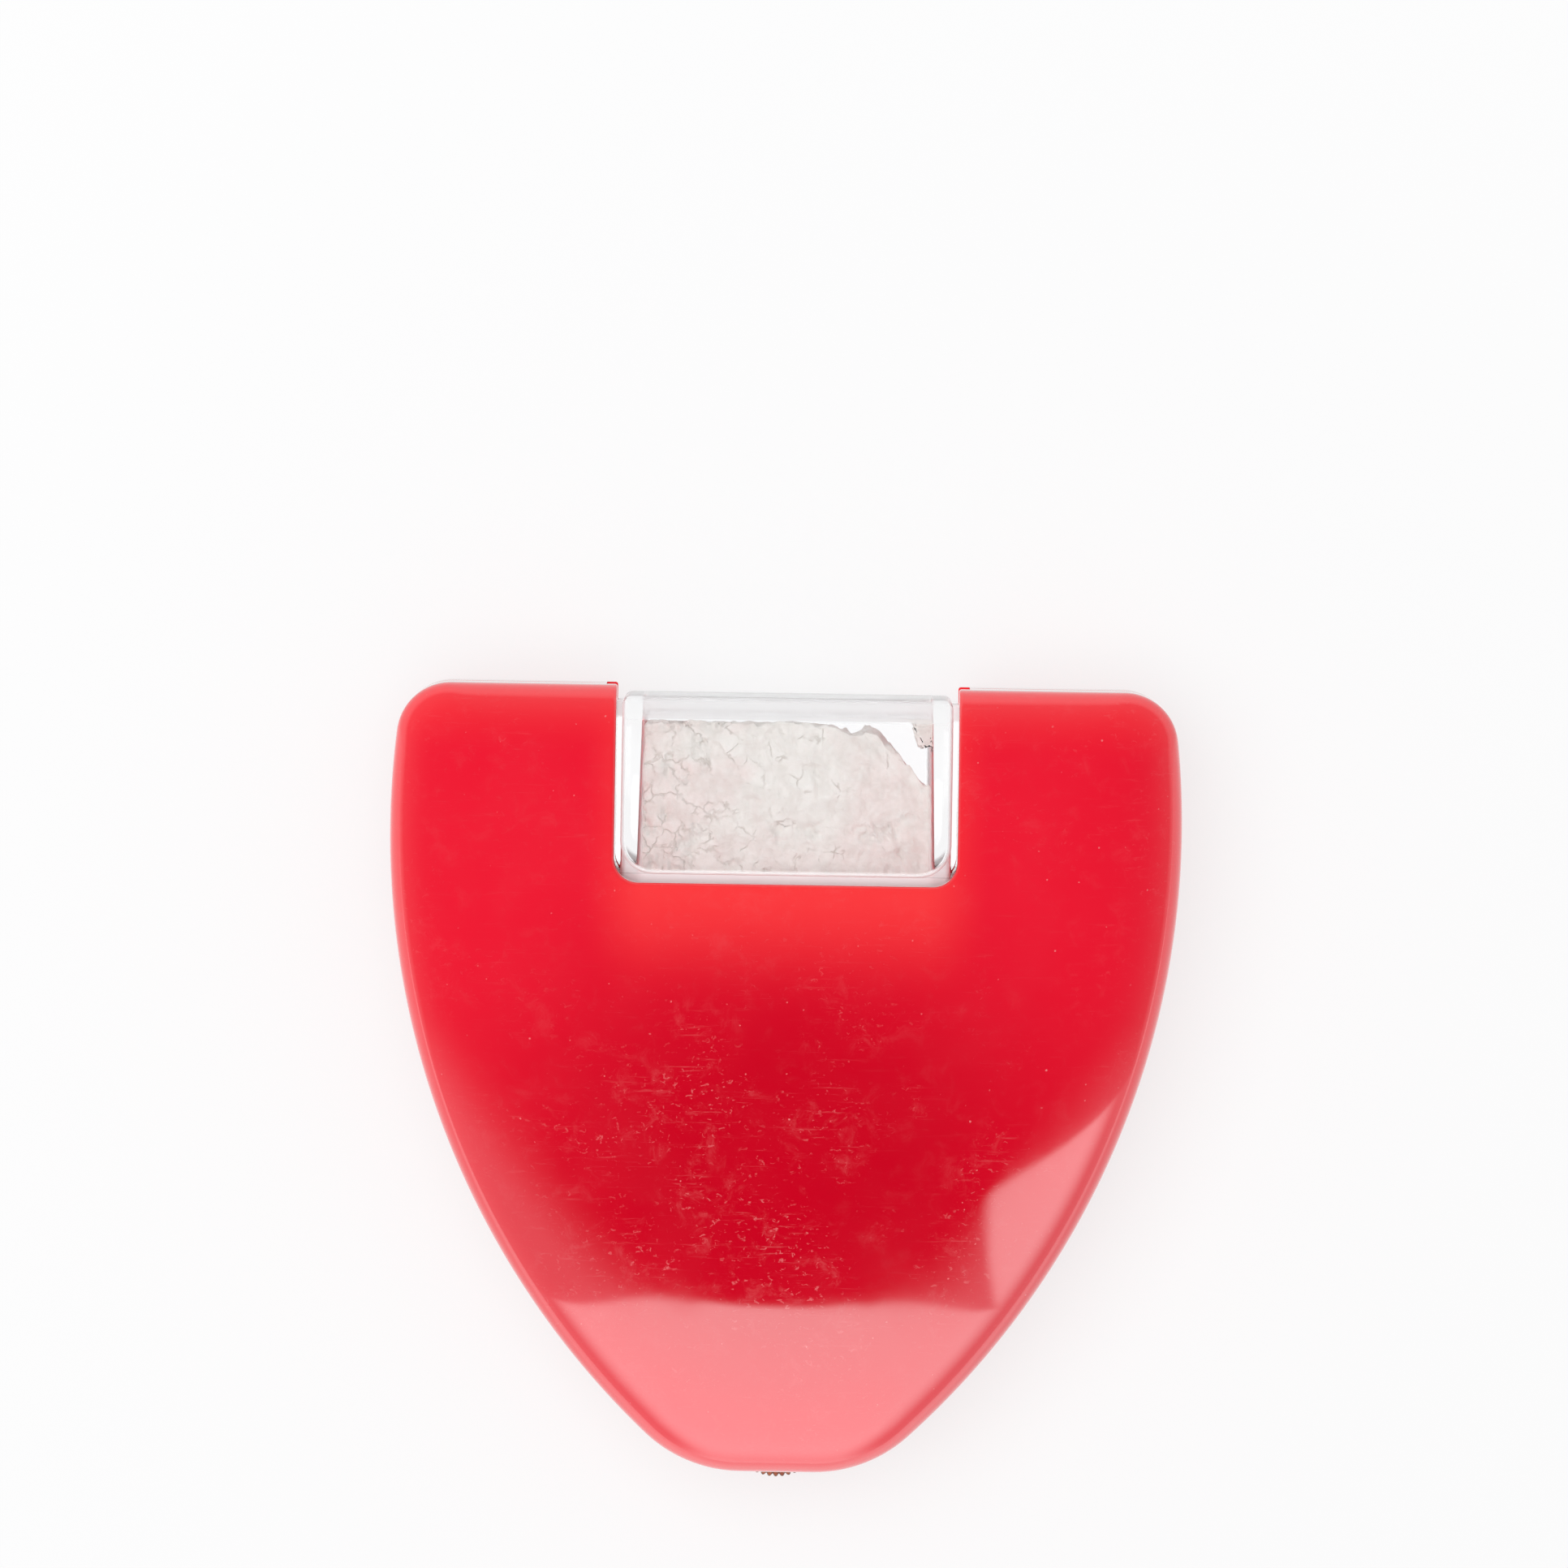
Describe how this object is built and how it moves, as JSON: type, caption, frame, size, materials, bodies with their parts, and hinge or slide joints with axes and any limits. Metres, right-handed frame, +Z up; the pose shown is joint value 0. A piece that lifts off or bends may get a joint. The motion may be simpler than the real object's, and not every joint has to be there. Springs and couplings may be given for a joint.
{
  "type": "chalk wheel marker",
  "caption": "Shield-shaped tailor's chalk marker: a serrated wheel at the tip lays a powder line, fed from a clear cartridge that slides out of the top.",
  "frame": {"origin": "on the table under the middle of the marker's box, with the marker lying on its flat back", "axes": "+X to the right seen from the front, +Y from the wheel tip towards the window, +Z up out of the front"},
  "size_m": [0.0648, 0.0654, 0.015],
  "materials": {
    "shell": "gloss",
    "clear_plastic": "gloss",
    "chalk": "matte",
    "holder_plastic": "matte",
    "wheel_brass": "satin",
    "axle_steel": "satin"
  },
  "bodies": {
    "case": {"front_shell": "shell", "back_shell": "shell", "wheel_holder": "holder_plastic", "wheel_axle": "axle_steel", "feed_powder": "chalk"},
    "cartridge": {"chalk_cartridge": "clear_plastic", "chalk_charge": "chalk"},
    "wheel": {"marking_wheel": "wheel_brass"}
  },
  "joints": [
    {"name": "cartridge_slide", "type": "slide", "parent": "case", "child": "cartridge", "axis": [0, 1, 0], "range_m": [0, 0.03]},
    {"name": "wheel_spin", "type": "hinge", "parent": "case", "child": "wheel", "pos_m": [0, -0.02845, 0.0075], "axis": [0, 0, 1], "continuous": true}
  ]
}
